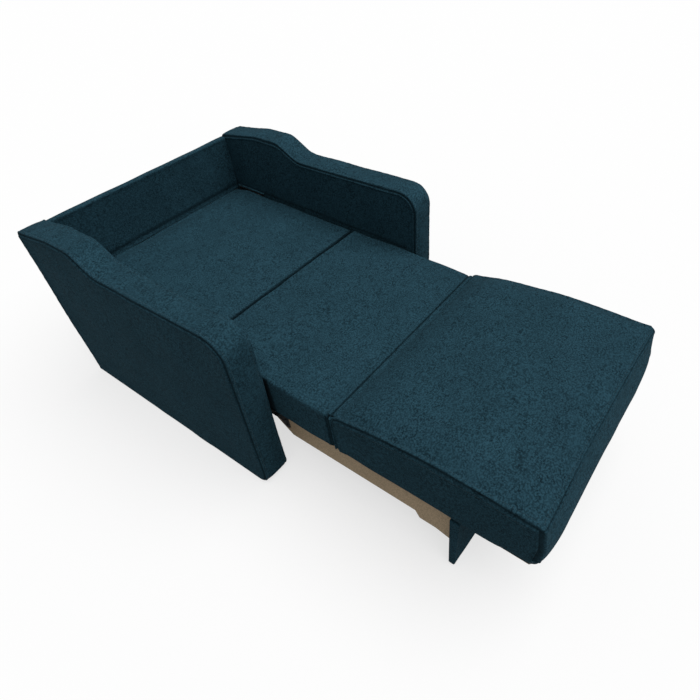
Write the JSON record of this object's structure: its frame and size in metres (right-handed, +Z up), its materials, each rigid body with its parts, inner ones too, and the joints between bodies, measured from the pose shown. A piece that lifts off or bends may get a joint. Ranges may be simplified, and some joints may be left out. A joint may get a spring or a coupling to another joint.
{
  "type": "convertible chair bed",
  "caption": "Upholstered armchair that unfolds into a single bed, with stepped arms, a low back panel, folding cushion sections and a pull-out front panel on side boards.",
  "frame": {"origin": "on the floor, under the middle of the open bed", "axes": "+Y along the bed to the back panel, +X across to the sitter's left arm, +Z up"},
  "size_m": [0.982, 1.9438, 0.7061],
  "materials": {
    "upholstery_fabric": "woven dark petrol",
    "foam_core": "foam",
    "raw_wood": "planed",
    "board": "bare particle board",
    "zinc_steel": "zinc plated",
    "black_steel": "satin",
    "nylon": "matte",
    "dust_cloth": "non-woven",
    "floor_glide": "matte"
  },
  "bodies": {
    "chair_body": {"left_arm_cover": "upholstery_fabric", "right_arm_cover": "upholstery_fabric", "left_arm_inner_board": "board", "right_arm_inner_board": "board", "left_arm_outer_board": "board", "right_arm_outer_board": "board", "left_arm_rails": "raw_wood", "right_arm_rails": "raw_wood", "floor_glides": "floor_glide", "rail_screws": "zinc_steel", "stretcher_bolts": "zinc_steel", "back_panel_cover": "upholstery_fabric", "back_panel_board": "board", "back_panel_lath": "raw_wood", "rear_stretcher": "raw_wood", "middle_stretcher": "raw_wood", "pivot_rails": "black_steel", "left_slide_rail": "black_steel", "right_slide_rail": "black_steel"},
    "pivot_carriage": {"pivot_blocks": "nylon", "pivot_pins": "zinc_steel"},
    "rear_section": {"rear_section_cover": "upholstery_fabric", "rear_section_foam": "foam_core", "rear_section_frame": "raw_wood", "rear_section_slats": "raw_wood", "rear_section_dust_cover": "dust_cloth", "rear_section_screws": "zinc_steel", "rear_section_fold_leaves": "zinc_steel", "rear_section_pivot_plates": "zinc_steel", "fold_hinge_pins": "zinc_steel"},
    "middle_section": {"middle_section_cover": "upholstery_fabric", "middle_section_foam": "foam_core", "middle_section_frame": "raw_wood", "middle_section_slats": "raw_wood", "middle_section_dust_cover": "dust_cloth", "middle_section_screws": "zinc_steel", "middle_section_fold_leaves": "zinc_steel", "middle_section_seat_leaves": "zinc_steel"},
    "seat_section": {"seat_section_cover": "upholstery_fabric", "seat_section_foam": "foam_core", "seat_section_frame": "raw_wood", "seat_section_slats": "raw_wood", "seat_section_dust_cover": "dust_cloth", "seat_section_screws": "zinc_steel", "seat_section_leaves": "zinc_steel", "seat_hinge_pins": "zinc_steel"},
    "pull_out_support": {"left_side_board": "board", "right_side_board": "board", "pull_out_crossbar": "raw_wood", "slider_straps": "black_steel", "slider_bolts": "black_steel", "slider_pins": "zinc_steel", "slider_shoes": "nylon", "front_panel_board": "board", "front_panel_cover": "upholstery_fabric", "front_panel_bolts": "zinc_steel", "front_panel_glides": "floor_glide"}
  },
  "joints": [
    {"name": "pivot_slide", "type": "slide", "parent": "chair_body", "child": "pivot_carriage", "axis": [0, 1, 0], "range_m": [0, 0.095]},
    {"name": "rear_section_fold", "type": "hinge", "parent": "pivot_carriage", "child": "rear_section", "pos_m": [0, 0.808, 0.44], "axis": [-1, 0, 0], "range_deg": [0, 90]},
    {"name": "middle_section_fold", "type": "hinge", "parent": "rear_section", "child": "middle_section", "pos_m": [0, 0.258, 0.284], "axis": [1, 0, 0], "range_deg": [0, 180]},
    {"name": "seat_section_fold", "type": "hinge", "parent": "middle_section", "child": "seat_section", "pos_m": [0, -0.292, 0.44], "axis": [-1, 0, 0], "range_deg": [0, 90]},
    {"name": "support_slide", "type": "slide", "parent": "chair_body", "child": "pull_out_support", "axis": [0, 1, 0], "range_m": [0, 0.68]}
  ],
  "couplings": [
    {"joint": "pivot_slide", "follows": "rear_section_fold", "m_per_rad": 0.060478},
    {"joint": "middle_section_fold", "follows": "rear_section_fold", "ratio": 2},
    {"joint": "seat_section_fold", "follows": "rear_section_fold", "ratio": 1},
    {"joint": "support_slide", "follows": "rear_section_fold", "m_per_rad": 0.4329}
  ]
}
